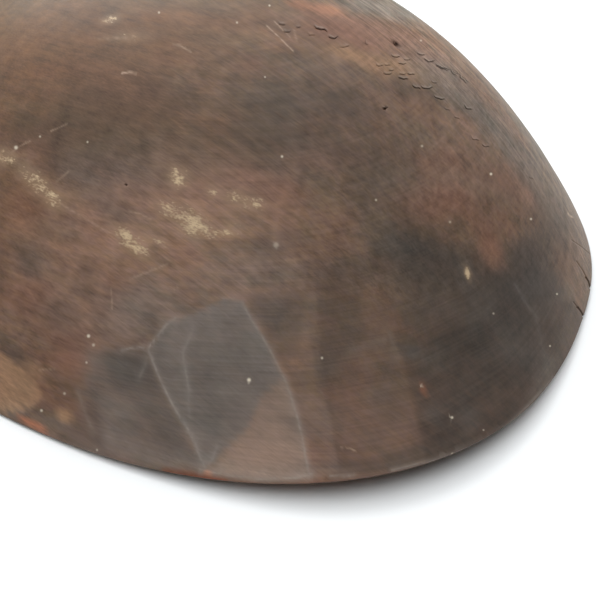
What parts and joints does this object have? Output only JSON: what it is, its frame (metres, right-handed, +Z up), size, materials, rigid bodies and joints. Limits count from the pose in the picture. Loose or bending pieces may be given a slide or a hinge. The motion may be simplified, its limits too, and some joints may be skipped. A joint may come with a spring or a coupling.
{
  "type": "feed scoop",
  "caption": "Hand-carved wooden feed scoop with a deep oval bowl and a whittled handle tenoned, wedged and pegged into its heel.",
  "frame": {"origin": "centre of the scoop's footprint, on the plane that the rim rests on with the hollow side down", "axes": "+X along the handle's axis towards the lip of the bowl, +Z up through the back of the bowl"},
  "size_m": [0.4162, 0.19, 0.0717],
  "materials": {
    "bowl_wood": "hand-scraped hardwood, dark brown patina, low sheen",
    "handle_wood": "whittled hardwood, polished by hands",
    "wedge_wood": "split hardwood, dry and matte",
    "peg_wood": "whittled hardwood, dark and dry"
  },
  "bodies": {
    "root": {"bowl": "bowl_wood", "handle": "handle_wood", "tenon_wedge": "wedge_wood", "locking_peg": "peg_wood"}
  },
  "joints": []
}
